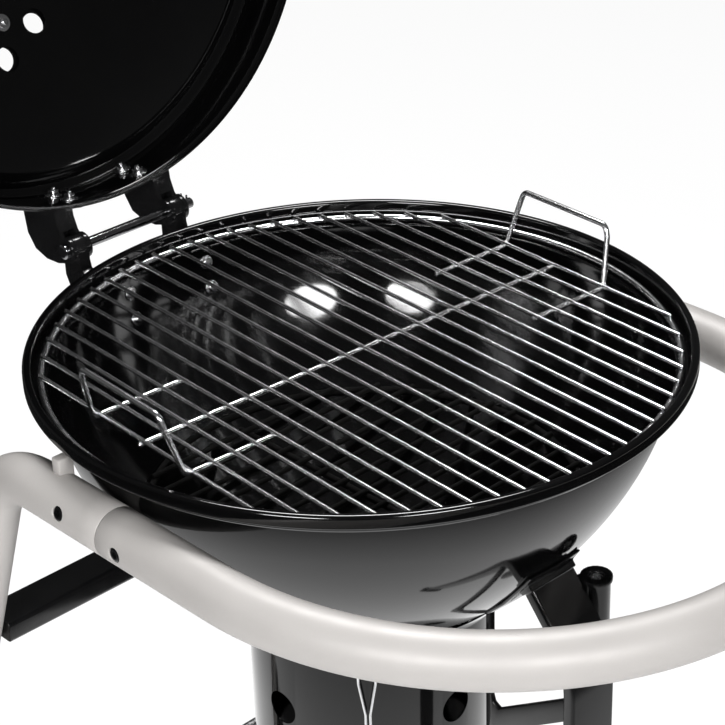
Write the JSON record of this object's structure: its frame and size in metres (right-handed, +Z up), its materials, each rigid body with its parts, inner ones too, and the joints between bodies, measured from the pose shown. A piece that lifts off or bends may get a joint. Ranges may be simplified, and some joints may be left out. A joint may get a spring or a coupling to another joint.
{
  "type": "kettle charcoal grill",
  "caption": "Round lidded charcoal grill with a hinged dome lid, a lift-out wire cooking grate and an ash bucket, on a tube trolley with a wrap-around push handle and wheels.",
  "frame": {"origin": "on the floor in the middle of the whole outline with the lid open; the bowl's axis is the vertical line through (0, -0.05872)", "axes": "+Z up, -Y to the push handle and the single front leg, +Y to the lid hinge and the wheels, +X to the right of someone at the handle looking at the grill"},
  "size_m": [0.729, 1.0234, 1.3962],
  "materials": {
    "enamel": "glossy black vitreous enamel",
    "black_paint": "semi-gloss black powder coat",
    "satin_silver_paint": "satin light warm grey, slightly metallic",
    "chrome_wire": "bright chrome plating on wire",
    "zinc_steel": "zinc plated steel",
    "dark_steel": "uncoated dark steel",
    "black_plastic": "matt black heat resistant plastic",
    "tyre_rubber": "matt black rubber"
  },
  "bodies": {
    "stand": {"bowl": "enamel", "ash_funnel": "enamel", "ash_bucket": "enamel", "bowl_hinge_bracket_left": "black_paint", "bowl_hinge_bracket_right": "black_paint", "rear_crossbar": "black_paint", "front_leg": "black_paint", "front_leg_bracket": "black_paint", "leg_side_post": "black_paint", "leg_brace": "black_paint", "loop_screw_front_left": "black_paint", "loop_screw_front_right": "black_paint", "loop_screw_rear_left": "black_paint", "loop_screw_rear_right": "black_paint", "handle_loop": "satin_silver_paint", "rear_leg_left": "satin_silver_paint", "rear_leg_right": "satin_silver_paint", "bowl_support_left": "satin_silver_paint", "bowl_support_right": "satin_silver_paint", "hinge_rod": "zinc_steel", "hinge_clip": "zinc_steel", "axle": "zinc_steel", "post_screw": "zinc_steel", "bowl_hinge_bolt_left_lower": "zinc_steel", "bowl_hinge_bolt_left_upper": "zinc_steel", "bowl_hinge_bolt_right_lower": "zinc_steel", "bowl_hinge_bolt_right_upper": "zinc_steel", "loop_joint_sleeve_left": "dark_steel", "loop_joint_sleeve_right": "dark_steel", "front_foot": "black_plastic", "hub_cap_left": "black_plastic", "hub_cap_right": "black_plastic"},
    "lid": {"lid": "enamel", "lid_damper_bolt": "chrome_wire", "lid_handle_grip": "black_plastic", "lid_handle_stand_left": "zinc_steel", "lid_handle_stand_right": "zinc_steel", "lid_hinge_arm_left": "black_paint", "lid_hinge_arm_right": "black_paint", "lid_hinge_bolt_left_lower": "zinc_steel", "lid_hinge_bolt_left_upper": "zinc_steel", "lid_hinge_bolt_right_lower": "zinc_steel", "lid_hinge_bolt_right_upper": "zinc_steel"},
    "lid_damper": {"lid_damper": "enamel"},
    "cooking_grate": {"cooking_grate": "chrome_wire"},
    "charcoal_grate": {"charcoal_grate": "dark_steel"},
    "ash_sweeper": {"ash_sweeper": "dark_steel", "sweeper_lever": "zinc_steel"},
    "bucket_latch_front": {"bucket_latch_front": "chrome_wire"},
    "bucket_latch_rear": {"bucket_latch_rear": "chrome_wire"},
    "wheel_left": {"tyre_left": "tyre_rubber", "wheel_left": "black_plastic"},
    "wheel_right": {"tyre_right": "tyre_rubber", "wheel_right": "black_plastic"}
  },
  "joints": [
    {"name": "lid_hinge", "type": "hinge", "parent": "stand", "child": "lid", "pos_m": [0, 0.26228, 0.794], "axis": [-1, 0, 0], "range_deg": [-99.5, 0]},
    {"name": "lid_damper_turn", "type": "hinge", "parent": "lid", "child": "lid_damper", "pos_m": [0, 0.43217, 0.9571], "axis": [0, 0.9192, -0.3938], "range_deg": [-6, 39]},
    {"name": "cooking_grate_lift", "type": "slide", "parent": "stand", "child": "cooking_grate", "axis": [0, 0, 1], "range_m": [0, 0.15]},
    {"name": "charcoal_grate_lift", "type": "slide", "parent": "stand", "child": "charcoal_grate", "axis": [0, 0, 1], "range_m": [0, 0.1]},
    {"name": "ash_sweeper_turn", "type": "hinge", "parent": "stand", "child": "ash_sweeper", "pos_m": [0, -0.05872, 0.523], "axis": [0, 0, 1], "range_deg": [-22, 22]},
    {"name": "bucket_latch_front_swing", "type": "hinge", "parent": "stand", "child": "bucket_latch_front", "pos_m": [-0.08061, -0.13933, 0.435], "axis": [0.7071, -0.7071, 0], "range_deg": [0, 110]},
    {"name": "bucket_latch_rear_swing", "type": "hinge", "parent": "stand", "child": "bucket_latch_rear", "pos_m": [0.08061, 0.02189, 0.435], "axis": [-0.7071, 0.7071, 0], "range_deg": [0, 110]},
    {"name": "wheel_left_roll", "type": "hinge", "parent": "stand", "child": "wheel_left", "pos_m": [-0.333, 0.30649, 0.1], "axis": [1, 0, 0], "continuous": true},
    {"name": "wheel_right_roll", "type": "hinge", "parent": "stand", "child": "wheel_right", "pos_m": [0.333, 0.30649, 0.1], "axis": [1, 0, 0], "continuous": true}
  ]
}
